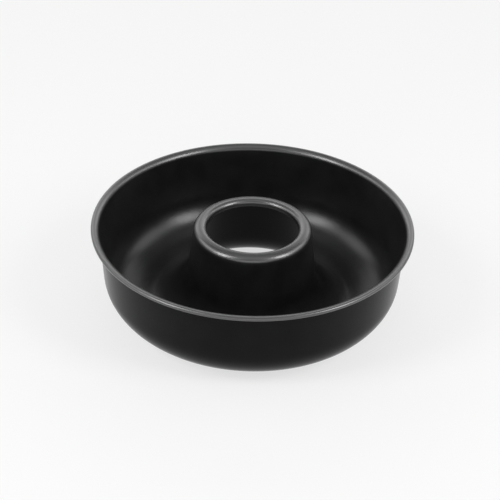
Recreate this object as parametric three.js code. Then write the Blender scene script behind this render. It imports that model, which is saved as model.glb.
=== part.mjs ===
// Savarin mould: a ring-shaped cake tin of coated sheet steel, in millimetres, +Z up.
// The origin is at the centre of the base, on the surface that the mould stands on.
// Two pressings are hooked together in a lock seam under the floor, and the rim is rolled around a wire.

import * as THREE from 'three';

// Overall size
const RIM_DIAMETER = 260; // across the outside of the rolled rim
const MOULD_HEIGHT = 75; // from the standing face to the top of the rim
const SHEET = 0.6; // thickness of both pressings

// Ring pan
const WALL_DRAFT = 3.6; // degrees by which the outer wall leans out
const WALL_FILLET = 29.4; // inside radius from the rising bottom to the outer wall
const FLOOR_DIAMETER = 192; // where the flat floor and the rising bottom would meet
const FLOOR_RISE = 25; // degrees by which the bottom rises towards the wall
const RISE_FILLET = 38; // inside radius from the flat floor to the rising bottom

// Rolled rim
const RIM_TURN = 4.7; // inside radius where the wall turns out over the roll
const WIRE_DIAMETER = 1.8;
const WIRE_CLEARANCE = 0.2; // all round the wire, inside the roll

// Centre tube
const BORE_DIAMETER = 74.6;
const LIP_WIDTH = 10.7; // from the bore to the outside of the tube
const LIP_DROP = 3.2; // from the top of the rim down to the top of the lip
const LIP_SLOPE = 6; // degrees by which the lip falls away from the bore
const LIP_OUTER_RADIUS = 5.5;
const LIP_INNER_RADIUS = 3.8;
const COLLAR_DEPTH = 5.5; // how far the lip's inner edge is turned down
const TUBE_DRAFT = 6; // degrees by which the tube narrows towards its lip
const TUBE_FILLET = 27.2; // inside radius from the tube to the floor

// Lock seam between the two pressings
const SEAM_WIDTH = 5;
const SEAM_GAP = 0.12; // between the layers of sheet
const SEAM_BEND = 0.45; // mid-line radius where the tube's foot steps down under the seam

// Facets
const SIDES = 48; // around the axis
const WIRE_SIDES = 8;
const FACET_ERROR = 0.1; // most that a facet departs from a bend's arc
const LARGEST_STEP = 45; // degrees of bend in one facet

const radians = THREE.MathUtils.degToRad;

// Mid-line heights of the seam's layers: the tube passes below, the hooks interlock, the floor lies on top
const layer = SHEET + SEAM_GAP;
const tubePassLevel = SHEET / 2;
const panHookLevel = tubePassLevel + layer;
const tubeHookLevel = panHookLevel + layer;
const floorLevel = tubeHookLevel + layer;

// Mid-line of the centre tube. The lip's corner over the bore is where its slope and its collar would meet.
const lipTop = MOULD_HEIGHT - LIP_DROP;
const lipInnerBend = LIP_INNER_RADIUS - SHEET / 2;
const lipInnerReach = lipInnerBend * Math.tan(radians(90 + LIP_SLOPE) / 2);
const lipInnerLevel = lipTop - LIP_INNER_RADIUS + lipInnerReach;
const boreLine = BORE_DIAMETER / 2 + SHEET / 2;
const tubeTopLine = BORE_DIAMETER / 2 + LIP_WIDTH - SHEET / 2;
const lipOuterLevel = lipInnerLevel - (tubeTopLine - boreLine) * Math.tan(radians(LIP_SLOPE));
const tubeFootLine = tubeTopLine + (lipOuterLevel - floorLevel) * Math.tan(radians(TUBE_DRAFT));
const tubeBend = TUBE_FILLET + SHEET / 2;
const tubeBendReach = tubeBend * Math.tan(radians(90 - TUBE_DRAFT) / 2);

// Mid-line of the seam, which starts where the foot of the tube runs out flat
const stepLine = tubeFootLine + tubeBendReach + SEAM_BEND;
const seamInner = stepLine + layer;
const seamOuter = seamInner + SEAM_WIDTH;

// Mid-line of the ring pan, worked inwards from the rim
const rollRadius = WIRE_DIAMETER / 2 + WIRE_CLEARANCE + SHEET / 2;
const rollLine = RIM_DIAMETER / 2 - SHEET / 2 - rollRadius;
const rimLevel = MOULD_HEIGHT - SHEET / 2;
const rollLevel = rimLevel - rollRadius;
const rimBend = RIM_TURN + SHEET / 2;
const wallTopLine = rollLine - rimBend * Math.tan(radians(90 - WALL_DRAFT) / 2);
const wallFootLine = wallTopLine - (rimLevel - floorLevel) * Math.tan(radians(WALL_DRAFT));

// Where the rising bottom and the outer wall would meet
const outwardPerRise = 1 / Math.tan(radians(FLOOR_RISE)) - Math.tan(radians(WALL_DRAFT));
const riseHeight = (wallFootLine - FLOOR_DIAMETER / 2) / outwardPerRise;
const riseTopLine = wallFootLine + riseHeight * Math.tan(radians(WALL_DRAFT));
const riseTopLevel = floorLevel + riseHeight;

// A corner of a sheet's mid-line, with the mid-line radius that it is bent to
function corner(fromAxis, height, radius = 0) {
  return { at: new THREE.Vector2(fromAxis, height), radius };
}

// Points and left-hand normals along one bend, from where it leaves the run in to where it joins the run out
function bendPoints(bend, runIn, runOut, radius) {
  const turn = Math.atan2(runIn.cross(runOut), runIn.dot(runOut));
  const side = Math.sign(turn);
  const reach = radius * Math.tan(Math.abs(turn) / 2);
  const leftOfRunIn = new THREE.Vector2(-runIn.y, runIn.x);
  const centre = bend.at.clone().addScaledVector(runIn, -reach).addScaledVector(leftOfRunIn, side * radius);
  const finest = 2 * Math.acos(Math.max(0, 1 - FACET_ERROR / radius));
  const steps = Math.ceil(Math.abs(turn) / Math.min(finest, radians(LARGEST_STEP)));
  return Array.from({ length: steps + 1 }, (_, step) => {
    const normal = leftOfRunIn.clone().rotateAround(new THREE.Vector2(), (turn * step) / steps);
    return { at: centre.clone().addScaledVector(normal, -side * radius), normal };
  });
}

// Mid-line of a bent sheet through its corners. A bend is limited by the runs of sheet on each side of it.
function bentLine(corners) {
  const runs = corners.slice(1).map((next, i) => next.at.clone().sub(corners[i].at));
  const lengths = runs.map((run) => run.length());
  runs.forEach((run) => run.normalize());
  const reaches = corners.map(({ radius }, i) => {
    const isEnd = i === 0 || i === runs.length;
    return isEnd ? 0 : radius * Math.tan(runs[i - 1].angleTo(runs[i]) / 2);
  });
  const line = [];
  corners.forEach((bend, i) => {
    if (i === 0 || i === runs.length) {
      const run = runs[Math.min(i, runs.length - 1)];
      line.push({ at: bend.at, normal: new THREE.Vector2(-run.y, run.x) });
      return;
    }
    const roomBefore = lengths[i - 1] / (reaches[i - 1] + reaches[i]);
    const roomAfter = lengths[i] / (reaches[i] + reaches[i + 1]);
    const radius = bend.radius * Math.min(1, roomBefore, roomAfter);
    line.push(...bendPoints(bend, runs[i - 1], runs[i], radius));
  });
  const samePoint = 1e-3;
  return line.filter(({ at }, i) => i === 0 || at.distanceTo(line[i - 1].at) > samePoint);
}

// A pressing turned about the axis: half a sheet to each side of its bent mid-line
function pressing(corners) {
  const line = bentLine(corners);
  const right = line.map(({ at, normal }) => at.clone().addScaledVector(normal, -SHEET / 2));
  const left = line.map(({ at, normal }) => at.clone().addScaledVector(normal, SHEET / 2));
  const section = [...right, ...left.reverse(), right[0]];
  return new THREE.LatheGeometry(section, SIDES).rotateX(Math.PI / 2);
}

// From the hook under the seam, out along the bottom, up the wall and three quarters round the wire
function ringPan() {
  const rollOut = rollLine + rollRadius;
  const rollIn = rollLine - rollRadius;
  const rollUnder = rollLevel - rollRadius;
  return pressing([
    corner(seamOuter - layer, panHookLevel),
    corner(seamInner, panHookLevel, layer),
    corner(seamInner, floorLevel, layer),
    corner(FLOOR_DIAMETER / 2, floorLevel, RISE_FILLET + SHEET / 2),
    corner(riseTopLine, riseTopLevel, WALL_FILLET + SHEET / 2),
    corner(wallTopLine, rimLevel, rimBend),
    corner(rollOut, rimLevel, rollRadius),
    corner(rollOut, rollUnder, rollRadius),
    corner(rollIn, rollUnder, rollRadius),
    corner(rollIn, rollLevel),
  ]);
}

// From the hook inside the seam, round under the pan's hook, up the tube, across the lip and down its collar
function centreTube() {
  return pressing([
    corner(seamInner + layer, tubeHookLevel),
    corner(seamOuter, tubeHookLevel, layer),
    corner(seamOuter, tubePassLevel, layer),
    corner(stepLine, tubePassLevel, SEAM_BEND),
    corner(stepLine, floorLevel, SEAM_BEND),
    corner(tubeFootLine, floorLevel, tubeBend),
    corner(tubeTopLine, lipOuterLevel, LIP_OUTER_RADIUS - SHEET / 2),
    corner(boreLine, lipInnerLevel, lipInnerBend),
    corner(boreLine, lipTop - COLLAR_DEPTH),
  ]);
}

// The wire ring that the rim is rolled around
function rimWire() {
  return new THREE.TorusGeometry(rollLine, WIRE_DIAMETER / 2, WIRE_SIDES, SIDES).translate(0, 0, rollLevel);
}

const coating = { color: 0x1c1d1f, roughness: 0.42, metalness: 0.2 };
const bareWire = { color: 0x9b9da0, roughness: 0.45, metalness: 1 };

function part(name, geometry, finish) {
  const mesh = new THREE.Mesh(geometry, new THREE.MeshStandardMaterial(finish));
  mesh.name = name;
  return mesh;
}

const mould = new THREE.Group();
mould.add(part('ring_pan', ringPan(), coating));
mould.add(part('centre_tube', centreTube(), coating));
mould.add(part('rim_wire', rimWire(), bareWire));

export default mould;
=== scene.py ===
"""Looks of a savarin mould: two coated pressings, a wire in the rolled rim, and a pale studio.

The pressings follow the same mid-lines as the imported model, with many more steps round each bend.
Lengths are in metres, +Z is up, and the mould stands on z = 0.
"""

import logging
import math
from dataclasses import dataclass
from enum import Enum
from typing import Any, Mapping, Sequence, Union

import bpy
from mathutils import Matrix, Vector


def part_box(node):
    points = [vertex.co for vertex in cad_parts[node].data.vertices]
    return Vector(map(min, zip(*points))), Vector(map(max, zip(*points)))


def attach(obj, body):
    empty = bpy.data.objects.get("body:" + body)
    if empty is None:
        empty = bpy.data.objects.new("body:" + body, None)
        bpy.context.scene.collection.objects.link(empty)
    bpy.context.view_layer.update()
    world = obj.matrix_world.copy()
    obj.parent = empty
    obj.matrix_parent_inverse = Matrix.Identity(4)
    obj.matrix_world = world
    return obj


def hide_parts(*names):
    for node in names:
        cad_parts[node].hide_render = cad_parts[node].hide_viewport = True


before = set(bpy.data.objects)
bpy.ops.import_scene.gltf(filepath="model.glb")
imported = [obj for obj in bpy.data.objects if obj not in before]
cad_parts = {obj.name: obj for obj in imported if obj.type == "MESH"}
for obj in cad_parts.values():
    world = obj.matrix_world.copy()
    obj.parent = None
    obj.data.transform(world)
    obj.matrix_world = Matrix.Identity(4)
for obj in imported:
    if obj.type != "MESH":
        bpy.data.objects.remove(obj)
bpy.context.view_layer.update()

LOG = logging.getLogger("savarin_mould")
MM = 0.001
BODY = "root"
AROUND = 192  # steps around the axis in every piece
SAME_POINT = 0.001 * MM  # points closer than this count as one
SHARP_ANGLE = math.radians(40)  # edges that turn further than this aren't smoothed
NOISE_MIDDLE = 0.5  # what noise varies around
WHITE = (1.0, 1.0, 1.0, 1.0)

Colour = tuple[float, float, float]
Range = tuple[float, float]


class CadNode(Enum):
    """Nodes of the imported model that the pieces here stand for."""

    RING_PAN = "ring_pan"
    CENTRE_TUBE = "centre_tube"
    RIM_WIRE = "rim_wire"


class Slot(Enum):
    """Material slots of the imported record."""

    COATED_STEEL = "coated_steel"
    WIRE_STEEL = "wire_steel"


# Shader values

class Value:
    """A shader socket that Python's operators do sums on."""

    def __init__(self, graph: "Graph", socket: bpy.types.NodeSocket) -> None:
        """Keeps the socket and the graph that it belongs to."""
        self.graph = graph
        self.socket = socket

    def __add__(self, other: "Operand") -> "Value":
        """Adds other to this value."""
        return self.graph.sum("ADD", self, other)

    def __radd__(self, other: "Operand") -> "Value":
        """Adds this value to other."""
        return self.graph.sum("ADD", other, self)

    def __sub__(self, other: "Operand") -> "Value":
        """Takes other from this value."""
        return self.graph.sum("SUBTRACT", self, other)

    def __rsub__(self, other: "Operand") -> "Value":
        """Takes this value from other."""
        return self.graph.sum("SUBTRACT", other, self)

    def __mul__(self, other: "Operand") -> "Value":
        """Multiplies this value by other."""
        return self.graph.sum("MULTIPLY", self, other)

    def __rmul__(self, other: "Operand") -> "Value":
        """Multiplies other by this value."""
        return self.graph.sum("MULTIPLY", other, self)

    def __pow__(self, other: "Operand") -> "Value":
        """Raises this value to a power."""
        return self.graph.sum("POWER", self, other)

    def larger(self, other: "Operand") -> "Value":
        """The larger of this value and other."""
        return self.graph.sum("MAXIMUM", self, other)

    def eased(self, low: float, high: float) -> "Value":
        """Runs smoothly from 0 to 1 as this value rises.

        Args:
            low: the value that gives 0.
            high: the value that gives 1.

        Returns:
            The eased value.
        """
        settings = {"interpolation_type": "SMOOTHSTEP"}
        sockets = {"Value": self, "From Min": low, "From Max": high}
        return self.graph.value("ShaderNodeMapRange", settings, sockets, "Result")


Operand = Union[Value, float]


class Graph:
    """The nodes of one material or world."""

    def __init__(self, tree: bpy.types.NodeTree) -> None:
        """Empties a node tree and keeps it."""
        tree.nodes.clear()
        self.tree = tree

    def node(
        self,
        kind: str,
        settings: Mapping[str, Any] | None = None,
        sockets: Mapping[Union[str, int], Any] | None = None,
    ) -> bpy.types.Node:
        """Adds a node.

        Args:
            kind: the node's type.
            settings: the node's own settings, which are set first.
            sockets: a value, or a Value to link, for each input.

        Returns:
            The new node.
        """
        made = self.tree.nodes.new(kind)
        for name, setting in (settings or {}).items():
            setattr(made, name, setting)
        for name, given in (sockets or {}).items():
            if isinstance(given, Value):
                self.tree.links.new(given.socket, made.inputs[name])
            else:
                made.inputs[name].default_value = given
        return made

    def value(
        self,
        kind: str,
        settings: Mapping[str, Any] | None = None,
        sockets: Mapping[Union[str, int], Any] | None = None,
        output: Union[str, int] = 0,
    ) -> Value:
        """Adds a node and gives one of its outputs.

        Args:
            kind: the node's type.
            settings: the node's own settings.
            sockets: a value, or a Value to link, for each input.
            output: the name or number of the output.

        Returns:
            That output.
        """
        return Value(self, self.node(kind, settings, sockets).outputs[output])

    def sum(self, operation: str, left: Operand, right: Operand) -> Value:
        """Adds a Math node.

        Args:
            operation: what the Math node does.
            left: its first input.
            right: its second input.

        Returns:
            The result.
        """
        return self.value("ShaderNodeMath", {"operation": operation}, {0: left, 1: right})

    def blend(self, share: Operand, first: Union[Value, Colour], second: Union[Value, Colour]) -> Value:
        """Mixes two colours.

        Args:
            share: 0 gives the first colour, and 1 the second.
            first: a colour.
            second: another colour.

        Returns:
            The mixed colour.
        """
        # A Mix node takes its two colours at inputs 6 and 7, and gives their mix at output 2.
        first_input, second_input, mixed_output = 6, 7, 2
        sockets: dict[Union[str, int], Any] = {0: share}
        for number, colour in ((first_input, first), (second_input, second)):
            sockets[number] = colour if isinstance(colour, Value) else (*colour, 1.0)
        return self.value("ShaderNodeMix", {"data_type": "RGBA"}, sockets, mixed_output)

    def place(self) -> Value:
        """The point on the object, in metres."""
        return self.value("ShaderNodeTexCoord", output="Object")

    def about_axis(self, place: Value) -> tuple[Value, Value]:
        """Reads a point as the pressings are drawn.

        Args:
            place: the point.

        Returns:
            How far it is from the upright axis, and how high it is.
        """
        parts = self.node("ShaderNodeSeparateXYZ", sockets={0: place})
        x, y, height = (Value(self, parts.outputs[name]) for name in ("X", "Y", "Z"))
        return (x * x + y * y) ** 0.5, height

    def stretched(self, place: Value, by: Sequence[float]) -> Value:
        """Multiplies a point by a number for each axis."""
        return self.value("ShaderNodeVectorMath", {"operation": "MULTIPLY"}, {0: place, 1: tuple(by)})

    def noise(self, place: Value, size: float, detail: float = 2.0) -> Value:
        """Adds smooth noise.

        Args:
            place: the point that the noise is read at.
            size: about how far apart its light and dark spots are.
            detail: how many finer layers it holds.

        Returns:
            The noise, around a half.
        """
        sockets = {"Vector": place, "Scale": 1 / size, "Detail": detail}
        return self.value("ShaderNodeTexNoise", sockets=sockets)

    def relief(self, height: Value, depth: float) -> Value:
        """Adds a bump.

        Args:
            height: the relief, from 0 to 1.
            depth: how deep it is from 0 to 1.

        Returns:
            The normal that it gives.
        """
        return self.value("ShaderNodeBump", sockets={"Height": height, "Strength": 1.0, "Distance": depth})

    def seen(self) -> Value:
        """Tells what is seen from what only lights the scene.

        Returns:
            1 for what the camera sees directly, in gloss or through glass, and 0 for soft light.
        """
        ray = self.node("ShaderNodeLightPath")
        names = ("Is Camera Ray", "Is Glossy Ray", "Is Transmission Ray")
        camera, glossy, through = (Value(self, ray.outputs[name]) for name in names)
        return camera.larger(glossy).larger(through)

    def surface(self, **sockets: Any) -> None:
        """Shades the surface with a Principled shader.

        Args:
            sockets: the shader's inputs, with _ for a space in a name.
        """
        named = {name.replace("_", " "): given for name, given in sockets.items()}
        shader = self.value("ShaderNodeBsdfPrincipled", sockets=named)
        self.node("ShaderNodeOutputMaterial", sockets={"Surface": shader})


def new_graph(name: str) -> tuple[bpy.types.Material, Graph]:
    """Makes an empty material.

    Args:
        name: the material's name.

    Returns:
        The material and its nodes.
    """
    material = bpy.data.materials.new(name)
    material.use_nodes = True
    return material, Graph(material.node_tree)


# Finishes

@dataclass(frozen=True)
class RubbedEdge:
    """A turned edge that hands and cloths rub, as a circle about the axis."""

    from_axis: float
    height: float
    reach: float

    def mask(self, graph: Graph, place: Value) -> Value:
        """Finds the edge on a piece.

        Args:
            graph: the material's nodes.
            place: the point on the piece.

        Returns:
            1 on the edge, falling to 0 at its reach.
        """
        from_axis, height = graph.about_axis(place)
        across = from_axis - self.from_axis
        above = height - self.height
        away = (across * across + above * above) ** 0.5
        return 1 - away.eased(0.0, self.reach)


@dataclass(frozen=True)
class CoatingFinish:
    """Near-black satin coating on sheet steel, with a faint mottle, drawing marks and rubbed edges."""

    deep: Colour = (0.006, 0.006, 0.0062)
    pale: Colour = (0.009, 0.009, 0.0092)
    rubbed: Colour = (0.012, 0.012, 0.012)
    refraction: float = 1.54
    roughness: float = 0.31
    mottle_roughness: float = 0.06
    drawn_roughness: float = 0.05
    polish: float = 1.0
    polish_roughness: float = 0.36
    polish_refraction: float = 1.84
    mottle_size: float = 16 * MM
    mottle_detail: float = 4.0
    mottle_range: Range = (0.3, 0.7)
    drawn_size: float = 5 * MM
    drawn_detail: float = 3.0
    drawn_stretch: float = 12.0
    grain_size: float = 0.35 * MM
    grain_detail: float = 1.0
    rubbed_grain: Range = (0.35, 0.75)
    peel_size: float = 1.8 * MM
    peel_depth: float = 0.004 * MM
    grain_share: float = 0.25

    def material(self, name: str, edges: Sequence[RubbedEdge] = ()) -> bpy.types.Material:
        """Makes the coating's material.

        Args:
            name: the material's name.
            edges: the edges that are rubbed.

        Returns:
            The material.
        """
        material, graph = new_graph(name)
        place = graph.place()
        mottle = graph.noise(place, self.mottle_size, self.mottle_detail)
        along_draw = graph.stretched(place, (1.0, 1.0, 1 / self.drawn_stretch))
        drawn = graph.noise(along_draw, self.drawn_size, self.drawn_detail)
        grain = graph.noise(place, self.grain_size, self.grain_detail)
        peel = graph.noise(place, self.peel_size)
        tone = graph.blend(mottle.eased(*self.mottle_range), self.deep, self.pale)
        roughness = (
            self.roughness
            + self.mottle_roughness * (mottle - NOISE_MIDDLE)
            + self.drawn_roughness * (drawn - NOISE_MIDDLE)
        )
        polish: Operand = 0.0
        if edges:
            rub = self.rubbing(graph, place, edges)
            tone = graph.blend(rub * grain.eased(*self.rubbed_grain), tone, self.rubbed)
            polish = self.polish * rub
        relief = peel + self.grain_share * grain
        graph.surface(
            Base_Color=tone,
            Roughness=roughness,
            IOR=self.refraction,
            Coat_Weight=polish,
            Coat_Roughness=self.polish_roughness,
            Coat_IOR=self.polish_refraction,
            Normal=graph.relief(relief, self.peel_depth),
        )
        return material

    def rubbing(self, graph: Graph, place: Value, edges: Sequence[RubbedEdge]) -> Value:
        """Where the coating is rubbed.

        Args:
            graph: the material's nodes.
            place: the point on the piece.
            edges: the edges that are rubbed.

        Returns:
            0 where the coating is new, up to 1 where it is rubbed most.
        """
        masks = [edge.mask(graph, place) for edge in edges]
        most = masks[0]
        for mask in masks[1:]:
            most = most.larger(mask)
        return most


@dataclass(frozen=True)
class SheetFinish:
    """The sheet's coat: the one that food touches, and on the outside a copy that is less glossy and darker,
    whose darker colour is painted shade on the outer wall.
    """

    food_side: CoatingFinish = CoatingFinish()
    # Painted shade: this copy's darker colours stand in for the shade and dark reflections on the outer
    # wall.
    outside: CoatingFinish = CoatingFinish(
        deep=(0.002, 0.002, 0.0021),
        pale=(0.0035, 0.0035, 0.0037),
        refraction=1.2,
        roughness=0.22,
    )


@dataclass(frozen=True)
class WireFinish:
    """Plain drawn steel wire, with fine marks along it and a few dull patches."""

    bright: Colour = (0.56, 0.56, 0.57)
    dull: Colour = (0.38, 0.37, 0.36)
    roughness: float = 0.34
    mark_roughness: float = 0.18
    patch_size: float = 9 * MM
    patch_detail: float = 4.0
    patch_range: Range = (0.42, 0.68)
    mark_size: float = 0.12 * MM
    mark_depth: float = 0.004 * MM

    def material(self, name: str) -> bpy.types.Material:
        """Makes the wire's material.

        Args:
            name: the material's name.

        Returns:
            The material.
        """
        material, graph = new_graph(name)
        place = graph.place()
        from_axis, height = graph.about_axis(place)
        section = graph.value("ShaderNodeCombineXYZ", sockets={"X": from_axis, "Y": height})
        marks = graph.noise(section, self.mark_size)
        patches = graph.noise(place, self.patch_size, self.patch_detail)
        graph.surface(
            Base_Color=graph.blend(patches.eased(*self.patch_range), self.bright, self.dull),
            Metallic=1.0,
            Roughness=self.roughness + self.mark_roughness * (marks - NOISE_MIDDLE),
            Normal=graph.relief(marks, self.mark_depth),
        )
        return material


@dataclass(frozen=True)
class FloorFinish:
    """Pale matt paper, part of whose white is its own, so that the mould's shadow on it is light."""

    pale: Colour = (0.88, 0.88, 0.88)
    shade: Colour = (0.86, 0.86, 0.86)
    cloud_size: float = 0.4
    roughness: float = 0.8
    own_white: float = 0.66

    def material(self, name: str) -> bpy.types.Material:
        """Makes the floor's material.

        Args:
            name: the material's name.

        Returns:
            The material.
        """
        material, graph = new_graph(name)
        clouds = graph.noise(graph.place(), self.cloud_size)
        tone = graph.blend(clouds, self.pale, self.shade)
        matt = {"Base Color": tone, "Roughness": self.roughness}
        paper = graph.value("ShaderNodeBsdfPrincipled", sockets=matt)
        white = graph.value("ShaderNodeEmission", sockets={"Color": WHITE, "Strength": 1.0})
        share = self.own_white * graph.seen()
        mixed = graph.value("ShaderNodeMixShader", sockets={0: share, 1: paper, 2: white})
        graph.node("ShaderNodeOutputMaterial", sockets={"Surface": mixed})
        return material


# Bent sheet

class Side(Enum):
    """A side of a sheet, as its mid-line is followed."""

    LEFT = "left"
    RIGHT = "right"


@dataclass(frozen=True)
class Corner:
    """A corner of a sheet's mid-line, the mid-line radius that it is bent to, and whether use rubs it."""

    from_axis: float
    height: float
    radius: float = 0.0
    rubbed: bool = False


@dataclass(frozen=True)
class Station:
    """A point of a mid-line, with the unit normal on its left."""

    at: Vector
    normal: Vector


def left_of(heading: Vector) -> Vector:
    """The direction on the left of a heading."""
    return Vector((-heading.y, heading.x))


@dataclass(frozen=True)
class BentSheet:
    """Sheet that is bent through a row of corners and turned about the upright axis."""

    corners: Sequence[Corner]
    thickness: float
    longest_run: float = 5 * MM
    largest_turn: float = math.radians(6)

    def bend(self, at: Vector, heading: Vector, turn: float, radius: float) -> list[Station]:
        """Steps round one bend.

        Args:
            at: the corner that is bent.
            heading: the direction of the run before it.
            turn: how far it turns to the left, in radians.
            radius: the mid-line radius of the bend.

        Returns:
            The stations from the start of the bend to its end.
        """
        side = math.copysign(1.0, turn)
        reach = radius * math.tan(abs(turn) / 2)
        first = left_of(heading)
        centre = at - reach * heading + side * radius * first
        steps = math.ceil(abs(turn) / self.largest_turn)
        normals = [Matrix.Rotation(turn * step / steps, 2) @ first for step in range(steps + 1)]
        return [Station(centre - side * radius * normal, normal) for normal in normals]

    def bends(self) -> list[list[Station]]:
        """Steps round every bend.

        Returns:
            The stations of each bend, whose radius is limited by the runs on both sides of it.
        """
        points = [Vector((corner.from_axis, corner.height)) for corner in self.corners]
        lengths = [(after - before).length for before, after in zip(points, points[1:])]
        headings = [(after - before).normalized() for before, after in zip(points, points[1:])]
        turns = [math.atan2(a.cross(b), a.dot(b)) for a, b in zip(headings, headings[1:])]
        radii = [corner.radius for corner in self.corners[1:-1]]
        reaches = [0.0, *(radius * math.tan(abs(turn) / 2) for radius, turn in zip(radii, turns)), 0.0]
        bends = []
        for number, (radius, turn) in enumerate(zip(radii, turns), start=1):
            room_before = lengths[number - 1] / (reaches[number - 1] + reaches[number])
            room_after = lengths[number] / (reaches[number] + reaches[number + 1])
            bent = radius * min(1.0, room_before, room_after)
            bends.append(self.bend(points[number], headings[number - 1], turn, bent))
        return bends

    def mid_line(self) -> list[Station]:
        """Follows the sheet's mid-line.

        Returns:
            The stations from its first corner, round every bend, to its last.
        """
        bent = [station for bend in self.bends() for station in bend]
        first, last = self.corners[0], self.corners[-1]
        start = Station(Vector((first.from_axis, first.height)), bent[0].normal)
        end = Station(Vector((last.from_axis, last.height)), bent[-1].normal)
        return self.with_runs_split([start, *bent, end])

    def rubbed_edges(self, side: Side, reach: float) -> list[RubbedEdge]:
        """Where the rubbed bends are.

        Args:
            side: the side of the mid-line that is rubbed.
            reach: how far the rubbing spreads from the middle of a bend.

        Returns:
            The edges.
        """
        outward = self.thickness / 2 if side is Side.LEFT else -self.thickness / 2
        edges = []
        for corner, bend in zip(self.corners[1:-1], self.bends()):
            if corner.rubbed:
                middle = bend[len(bend) // 2]
                edge = middle.at + outward * middle.normal
                edges.append(RubbedEdge(edge.x, edge.y, reach))
        return edges

    def with_runs_split(self, line: Sequence[Station]) -> list[Station]:
        """Splits long straight runs and drops stations that coincide.

        Args:
            line: the stations of a mid-line.

        Returns:
            The stations with the long runs split.
        """
        split = [line[0]]
        for before, after in zip(line, line[1:]):
            length = (after.at - before.at).length
            if length < SAME_POINT:
                continue
            steps = math.ceil(length / self.longest_run)
            for step in range(1, steps + 1):
                share = step / steps
                at = before.at.lerp(after.at, share)
                split.append(Station(at, before.normal.lerp(after.normal, share)))
        return split

    def mesh(self, name: str, outside: Side) -> bpy.types.Mesh:
        """Makes the sheet, half its thickness to each side of the mid-line.

        Args:
            name: the mesh's name.
            outside: the side of the mid-line that takes the second material.

        Returns:
            The mesh.
        """
        line = self.mid_line()
        half = self.thickness / 2
        right = [station.at - half * station.normal for station in line]
        left = [station.at + half * station.normal for station in line]
        mesh = turned_mesh(name, right + left[::-1])
        first_ring = 0 if outside is Side.RIGHT else len(line)
        rings = range(first_ring, first_ring + len(line) - 1)
        for ring in rings:
            for step in range(AROUND):
                mesh.polygons[ring * AROUND + step].material_index = 1
        return mesh


def turned_mesh(name: str, section: Sequence[Vector]) -> bpy.types.Mesh:
    """Turns a closed outline about the upright axis.

    Args:
        name: the mesh's name.
        section: the outline, as distance from the axis and height, with its inside on the left.

    Returns:
        The mesh, smooth but for its cut edges.
    """
    around = [Matrix.Rotation(math.tau * step / AROUND, 3, "Z") for step in range(AROUND)]
    points = [turn @ Vector((point.x, 0.0, point.y)) for point in section for turn in around]
    faces = []
    for ring in range(len(section)):
        this = ring * AROUND
        after = (ring + 1) % len(section) * AROUND
        for step in range(AROUND):
            beside = (step + 1) % AROUND
            faces.append((this + step, this + beside, after + beside, after + step))
    mesh = bpy.data.meshes.new(name)
    mesh.from_pydata(points, [], faces)
    mesh.shade_smooth()
    mesh.set_sharp_from_angle(angle=SHARP_ANGLE)
    return mesh


def add_piece(mesh: bpy.types.Mesh, node: CadNode) -> bpy.types.Object:
    """Adds a piece of the mould to the scene.

    Args:
        mesh: the piece's mesh, whose name the piece takes.
        node: the node that the piece stands for.

    Returns:
        The piece.
    """
    piece = bpy.data.objects.new(mesh.name, mesh)
    bpy.context.scene.collection.objects.link(piece)
    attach(piece, BODY)
    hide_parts(node.value)
    return piece


# The mould

@dataclass(frozen=True)
class LockSeam:
    """The flattened seam under the floor, where the edges of the two pressings hook into each other."""

    sheet: float = 0.6 * MM
    gap: float = 0.12 * MM
    width: float = 5 * MM
    bend: float = 0.45 * MM

    @property
    def layer(self) -> float:
        """From one layer's mid-line to the next."""
        return self.sheet + self.gap

    @property
    def tube_pass(self) -> float:
        """Height of the tube's mid-line where it passes under the seam."""
        return self.sheet / 2

    @property
    def pan_hook(self) -> float:
        """Height of the mid-line of the pan's hook."""
        return self.tube_pass + self.layer

    @property
    def tube_hook(self) -> float:
        """Height of the mid-line of the tube's hook."""
        return self.pan_hook + self.layer

    @property
    def floor(self) -> float:
        """Height of the floor's mid-line."""
        return self.tube_hook + self.layer


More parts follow.
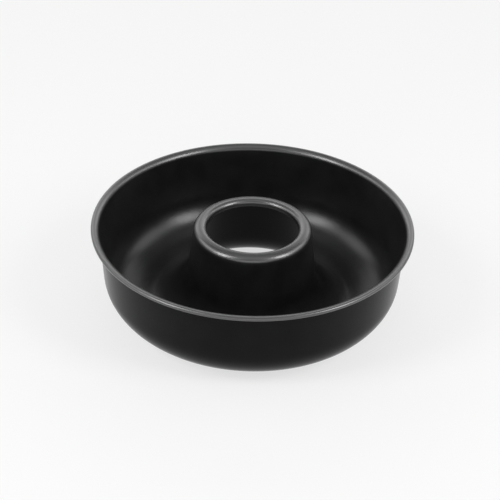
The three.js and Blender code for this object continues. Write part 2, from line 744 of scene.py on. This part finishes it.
@dataclass
class CentreTube:
    """The inner pressing: lip, collar, tube wall and flared foot."""

    seam: LockSeam
    lip_top: float
    bore: float = 74.6 * MM
    lip_width: float = 10.7 * MM
    lip_slope: float = math.radians(6)
    lip_outer_radius: float = 5.5 * MM
    lip_inner_radius: float = 3.8 * MM
    collar_depth: float = 5.5 * MM
    draft: float = math.radians(6)
    foot_fillet: float = 27.2 * MM
    rubbed_reach: float = 6 * MM

    @property
    def lip_inner_bend(self) -> float:
        """Mid-line radius from the lip to its collar."""
        return self.lip_inner_radius - self.seam.sheet / 2

    @property
    def lip_inner_level(self) -> float:
        """Height at which the mid-lines of the lip and its collar would meet."""
        reach = self.lip_inner_bend * math.tan((math.pi / 2 + self.lip_slope) / 2)
        return self.lip_top - self.lip_inner_radius + reach

    @property
    def lip_outer_level(self) -> float:
        """Height at which the mid-lines of the lip and the tube would meet."""
        return self.lip_inner_level - (self.top_line - self.bore_line) * math.tan(self.lip_slope)

    @property
    def bore_line(self) -> float:
        """The collar's mid-line, from the axis."""
        return (self.bore + self.seam.sheet) / 2

    @property
    def top_line(self) -> float:
        """The tube's mid-line at the level of the lip, from the axis."""
        return self.bore / 2 + self.lip_width - self.seam.sheet / 2

    @property
    def foot_line(self) -> float:
        """The tube's mid-line at the level of the floor, from the axis."""
        return self.top_line + (self.lip_outer_level - self.seam.floor) * math.tan(self.draft)

    @property
    def foot_bend(self) -> float:
        """Mid-line radius from the tube to the floor."""
        return self.foot_fillet + self.seam.sheet / 2

    @property
    def step_line(self) -> float:
        """Where the foot has run out flat and steps down under the seam, from the axis."""
        reach = self.foot_bend * math.tan((math.pi / 2 - self.draft) / 2)
        return self.foot_line + reach + self.seam.bend

    @property
    def seam_inner(self) -> float:
        """The inner edge of the seam, from the axis."""
        return self.step_line + self.seam.layer

    @property
    def seam_outer(self) -> float:
        """The outer edge of the seam, from the axis."""
        return self.seam_inner + self.seam.width

    def sheet(self) -> BentSheet:
        """Bends the pressing's sheet.

        Returns:
            The sheet, from its hook in the seam to the edge of the collar.
        """
        seam = self.seam
        half_sheet = seam.sheet / 2
        return BentSheet(
            (
                Corner(self.seam_inner + seam.layer, seam.tube_hook),
                Corner(self.seam_outer, seam.tube_hook, seam.layer),
                Corner(self.seam_outer, seam.tube_pass, seam.layer),
                Corner(self.step_line, seam.tube_pass, seam.bend),
                Corner(self.step_line, seam.floor, seam.bend),
                Corner(self.foot_line, seam.floor, self.foot_bend),
                Corner(self.top_line, self.lip_outer_level, self.lip_outer_radius - half_sheet, rubbed=True),
                Corner(self.bore_line, self.lip_inner_level, self.lip_inner_bend, rubbed=True),
                Corner(self.bore_line, self.lip_top - self.collar_depth),
            ),
            seam.sheet,
        )

    def build(self) -> bpy.types.Object:
        """Makes the pressing.

        Returns:
            The piece.
        """
        mesh = self.sheet().mesh("tube_sheet", outside=Side.LEFT)
        return add_piece(mesh, CadNode.CENTRE_TUBE)

    def dress(self, piece: bpy.types.Object, finish: SheetFinish) -> None:
        """Coats the pressing, with both roundings of its lip rubbed.

        Args:
            piece: the pressing.
            finish: its coats.
        """
        edges = self.sheet().rubbed_edges(Side.RIGHT, self.rubbed_reach)
        piece.data.materials.append(finish.food_side.material("tube_coating", edges))
        # The outside gets the darker copy of the coat, whose colour is painted shade.
        piece.data.materials.append(finish.outside.material("tube_outside_painted_shade"))


@dataclass
class SeamCoating:
    """Coating that has filled the groove where the two pressings turn down into the seam."""

    tube: CentreTube
    first_turn: float = math.radians(2)
    last_turn: float = math.radians(75)
    steps: int = 8
    sag: float = 0.01 * MM
    film: float = 0.002 * MM

    def turned_edge(self, middle: Vector, radius: float, side: float) -> list[Vector]:
        """Follows one pressing's rounding down into the groove.

        Args:
            middle: the middle of the rounding.
            radius: the outside radius of the rounding.
            side: 1 where the groove is further from the axis than the rounding, and -1 where it is nearer.

        Returns:
            Points just clear of the sheet, from the top down.
        """
        span = self.last_turn - self.first_turn
        turns = [self.first_turn + span * step / self.steps for step in range(self.steps + 1)]
        reach = radius + self.film
        return [middle + reach * Vector((side * math.sin(turn), math.cos(turn))) for turn in turns]

    def build(self) -> bpy.types.Object:
        """Fills the groove, with a slight dip along its middle.

        Returns:
            The piece.
        """
        seam = self.tube.seam
        half_sheet = seam.sheet / 2
        tube_middle = Vector((self.tube.step_line - seam.bend, seam.floor - seam.bend))
        pan_middle = Vector((self.tube.seam_inner + seam.layer, seam.floor - seam.layer))
        tube_edge = self.turned_edge(tube_middle, seam.bend + half_sheet, 1.0)
        pan_edge = self.turned_edge(pan_middle, seam.layer + half_sheet, -1.0)
        # share * (1 - share) is a quarter in the middle, where the top dips by the whole sag.
        dip = Vector((0.0, 4 * self.sag))
        shares = [step / self.steps for step in range(1, self.steps)]
        top = [pan_edge[0].lerp(tube_edge[0], share) - share * (1 - share) * dip for share in shares]
        mesh = turned_mesh("seam_coat", tube_edge + pan_edge[::-1] + top)
        return add_piece(mesh, CadNode.CENTRE_TUBE)

    def dress(self, piece: bpy.types.Object, finish: SheetFinish) -> None:
        """Gives the fill the coat that food touches."""
        piece.data.materials.append(finish.food_side.material("seam_coating"))


@dataclass
class RingPan:
    """The outer pressing: floor, rising bottom, outer wall and rolled rim."""

    seam: LockSeam
    seam_inner: float
    seam_outer: float
    rim_radius: float
    rim_top: float
    wall_draft: float = math.radians(3.6)
    wall_fillet: float = 29.4 * MM
    floor_diameter: float = 192 * MM
    floor_rise: float = math.radians(25)
    rise_fillet: float = 38 * MM
    rim_turn: float = 4.7 * MM
    wire: float = 1.8 * MM
    wire_clearance: float = 0.2 * MM
    rubbed_reach: float = 4 * MM

    @property
    def roll_radius(self) -> float:
        """Mid-line radius of the roll round the wire."""
        return self.wire / 2 + self.wire_clearance + self.seam.sheet / 2

    @property
    def roll_line(self) -> float:
        """The middle of the roll and of its wire, from the axis."""
        return self.rim_radius - self.seam.sheet / 2 - self.roll_radius

    @property
    def rim_level(self) -> float:
        """Height of the mid-line over the roll."""
        return self.rim_top - self.seam.sheet / 2

    @property
    def roll_level(self) -> float:
        """Height of the middle of the roll and of its wire."""
        return self.rim_level - self.roll_radius

    @property
    def rim_bend(self) -> float:
        """Mid-line radius where the wall turns out over the roll."""
        return self.rim_turn + self.seam.sheet / 2

    @property
    def wall_top_line(self) -> float:
        """The wall's mid-line at the level of the rim, from the axis."""
        return self.roll_line - self.rim_bend * math.tan((math.pi / 2 - self.wall_draft) / 2)

    @property
    def wall_foot_line(self) -> float:
        """The wall's mid-line at the level of the floor, from the axis."""
        return self.wall_top_line - (self.rim_level - self.seam.floor) * math.tan(self.wall_draft)

    def rise_top(self) -> tuple[float, float]:
        """Finds where the rising bottom and the wall would meet.

        Returns:
            How far that is from the axis, and how high it is.
        """
        outward_per_rise = 1 / math.tan(self.floor_rise) - math.tan(self.wall_draft)
        rise = (self.wall_foot_line - self.floor_diameter / 2) / outward_per_rise
        return self.wall_foot_line + rise * math.tan(self.wall_draft), self.seam.floor + rise

    def sheet(self) -> BentSheet:
        """Bends the pressing's sheet.

        Returns:
            The sheet, from its hook in the seam to the edge of the roll.
        """
        seam = self.seam
        half_sheet = seam.sheet / 2
        roll_out = self.roll_line + self.roll_radius
        roll_in = self.roll_line - self.roll_radius
        roll_under = self.roll_level - self.roll_radius
        return BentSheet(
            (
                Corner(self.seam_outer - seam.layer, seam.pan_hook),
                Corner(self.seam_inner, seam.pan_hook, seam.layer),
                Corner(self.seam_inner, seam.floor, seam.layer),
                Corner(self.floor_diameter / 2, seam.floor, self.rise_fillet + half_sheet),
                Corner(*self.rise_top(), self.wall_fillet + half_sheet),
                Corner(self.wall_top_line, self.rim_level, self.rim_bend, rubbed=True),
                Corner(roll_out, self.rim_level, self.roll_radius, rubbed=True),
                Corner(roll_out, roll_under, self.roll_radius),
                Corner(roll_in, roll_under, self.roll_radius),
                Corner(roll_in, self.roll_level),
            ),
            seam.sheet,
        )

    def build(self) -> bpy.types.Object:
        """Makes the pressing.

        Returns:
            The piece.
        """
        mesh = self.sheet().mesh("pan_sheet", outside=Side.RIGHT)
        return add_piece(mesh, CadNode.RING_PAN)

    def dress(self, piece: bpy.types.Object, finish: SheetFinish) -> None:
        """Coats the pressing, with the top of its rim rubbed.

        Args:
            piece: the pressing.
            finish: its coats.
        """
        edges = self.sheet().rubbed_edges(Side.LEFT, self.rubbed_reach)
        piece.data.materials.append(finish.food_side.material("pan_coating", edges))
        # The outside gets the darker copy of the coat, whose colour is painted shade.
        piece.data.materials.append(finish.outside.material("pan_outside_painted_shade"))


@dataclass
class RimWire:
    """The wire that the rim is rolled round."""

    from_axis: float
    level: float
    diameter: float
    section_sides: int = 20

    def build(self) -> bpy.types.Object:
        """Makes the wire ring.

        Returns:
            The piece.
        """
        spoke = Vector((self.diameter / 2, 0.0))
        middle = Vector((self.from_axis, self.level))
        turns = [math.tau * step / self.section_sides for step in range(self.section_sides)]
        section = [middle + Matrix.Rotation(turn, 2) @ spoke for turn in turns]
        return add_piece(turned_mesh("wire_ring", section), CadNode.RIM_WIRE)

    def dress(self, piece: bpy.types.Object, finish: WireFinish) -> None:
        """Gives the wire its bare steel."""
        piece.data.materials.append(finish.material("drawn_wire"))


# Studio

@dataclass(frozen=True)
class SoftBox:
    """A soft lamp that faces the mould, with its angles in degrees and its width and height as its size."""

    name: str
    azimuth: float
    elevation: float
    distance: float
    size: tuple[float, float]
    brightness: float

    def build(self, target: Vector) -> bpy.types.Object:
        """Hangs the lamp.

        Args:
            target: the point that it faces.

        Returns:
            The lamp.
        """
        turn, rise = math.radians(self.azimuth), math.radians(self.elevation)
        towards = Vector((math.sin(turn) * math.cos(rise), math.cos(turn) * math.cos(rise), math.sin(rise)))
        width, height = self.size
        data = bpy.data.lights.new(self.name, "AREA")
        data.shape = "RECTANGLE"
        data.size = width
        data.size_y = height
        data.energy = self.brightness * math.pi * width * height
        lamp = bpy.data.objects.new(self.name, data)
        lamp.location = target + self.distance * towards
        lamp.rotation_mode = "QUATERNION"
        lamp.rotation_quaternion = towards.to_track_quat("Z", "Y")
        bpy.context.scene.collection.objects.link(lamp)
        return lamp


@dataclass(frozen=True)
class View:
    """The camera's place, from the middle of the rim's top."""

    elevation: float = math.radians(33.924)
    roll: float = math.radians(1.543)
    right: float = 2.257 * MM
    down: float = -22.879 * MM
    depth: float = 1047.87 * MM
    focal_pixels: float = 1300.0
    image_pixels: float = 500.0
    sensor: float = 36.0
    nearest: float = 0.01
    furthest: float = 50.0

    def build(self, rim_centre: Vector) -> bpy.types.Object:
        """Places the camera.

        Args:
            rim_centre: the middle of the rim's top.

        Returns:
            The camera.
        """
        forward = Vector((0.0, math.cos(self.elevation), -math.sin(self.elevation)))
        level_right = Vector((1.0, 0.0, 0.0))
        level_down = Vector((0.0, -math.sin(self.elevation), -math.cos(self.elevation)))
        right = math.cos(self.roll) * level_right - math.sin(self.roll) * level_down
        down = math.sin(self.roll) * level_right + math.cos(self.roll) * level_down
        data = bpy.data.cameras.new("view")
        data.sensor_width = self.sensor
        data.lens = self.focal_pixels / self.image_pixels * self.sensor
        data.clip_start = self.nearest
        data.clip_end = self.furthest
        camera = bpy.data.objects.new("view", data)
        camera.location = rim_centre - (self.right * right + self.down * down + self.depth * forward)
        camera.rotation_mode = "QUATERNION"
        camera.rotation_quaternion = Matrix((right, -down, -forward)).transposed().to_quaternion()
        bpy.context.scene.collection.objects.link(camera)
        bpy.context.scene.camera = camera
        return camera


@dataclass
class Studio:
    """A pale floor, soft lamps, a grey sky and the camera."""

    rim_centre: Vector
    floor_width: float = 6.0
    sky: float = 0.3
    fill: float = 0.1
    lamps: Sequence[SoftBox] = (
        SoftBox("back_panel", azimuth=0.0, elevation=31.0, distance=1.6, size=(2.6, 0.65), brightness=1.7),
        SoftBox("left_panel", azimuth=-75.0, elevation=33.0, distance=1.5, size=(0.9, 0.6), brightness=1.7),
        SoftBox("right_panel", azimuth=75.0, elevation=33.0, distance=1.5, size=(0.9, 0.6), brightness=1.7),
        SoftBox("left_box", azimuth=-119.0, elevation=38.0, distance=1.4, size=(0.46, 0.74), brightness=8.2),
        SoftBox("right_box", azimuth=117.0, elevation=38.0, distance=1.4, size=(0.46, 0.74), brightness=8.0),
        SoftBox("top_panel", azimuth=180.0, elevation=86.0, distance=1.6, size=(1.2, 1.8), brightness=0.42),
        SoftBox("front_panel", azimuth=180.0, elevation=17.0, distance=1.8, size=(2.4, 0.7), brightness=1.4),
    )

    def build(self) -> None:
        """Sets up the floor, the lamps, the sky and the camera."""
        View().build(self.rim_centre)
        self.lay_floor()
        self.light_sky()
        for lamp in self.lamps:
            lamp.build(self.rim_centre)
            LOG.info("lamp %s", lamp.name)
        bpy.context.scene.view_settings.view_transform = "Standard"

    def lay_floor(self) -> None:
        """Lays the floor that the mould stands on."""
        half = self.floor_width / 2
        mesh = bpy.data.meshes.new("floor")
        corners = [(-half, -half, 0.0), (half, -half, 0.0), (half, half, 0.0), (-half, half, 0.0)]
        mesh.from_pydata(corners, [], [(0, 1, 2, 3)])
        mesh.materials.append(FloorFinish().material("floor_paper"))
        floor = bpy.data.objects.new("floor", mesh)
        bpy.context.scene.collection.objects.link(floor)

    def light_sky(self) -> None:
        """Makes a grey sky, which gloss shows brighter than the little light that it gives."""
        world = bpy.data.worlds.new("sky")
        world.use_nodes = True
        bpy.context.scene.world = world
        graph = Graph(world.node_tree)
        strength = self.fill + (self.sky - self.fill) * graph.seen()
        light = {"Color": WHITE, "Strength": strength}
        background = graph.value("ShaderNodeBackground", sockets=light)
        graph.node("ShaderNodeOutputWorld", sockets={"Surface": background})


def main() -> None:
    """Builds the mould and its studio, in order."""
    logging.basicConfig(level=logging.INFO, format="%(name)s: %(message)s")
    rim_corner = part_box(CadNode.RING_PAN.value)[1]
    lip_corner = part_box(CadNode.CENTRE_TUBE.value)[1]
    Studio(Vector((0.0, 0.0, rim_corner.z))).build()

    coating = SheetFinish()
    tube = CentreTube(LockSeam(), lip_corner.z)
    pan = RingPan(tube.seam, tube.seam_inner, tube.seam_outer, rim_corner.x, rim_corner.z)
    wire = RimWire(pan.roll_line, pan.roll_level, pan.wire)
    seam = SeamCoating(tube)
    for part, finish in ((tube, coating), (seam, coating), (pan, coating), (wire, WireFinish())):
        piece = part.build()
        part.dress(piece, finish)
        LOG.info("piece %s, %d faces", piece.name, len(piece.data.polygons))


if __name__ == "__main__":
    main()
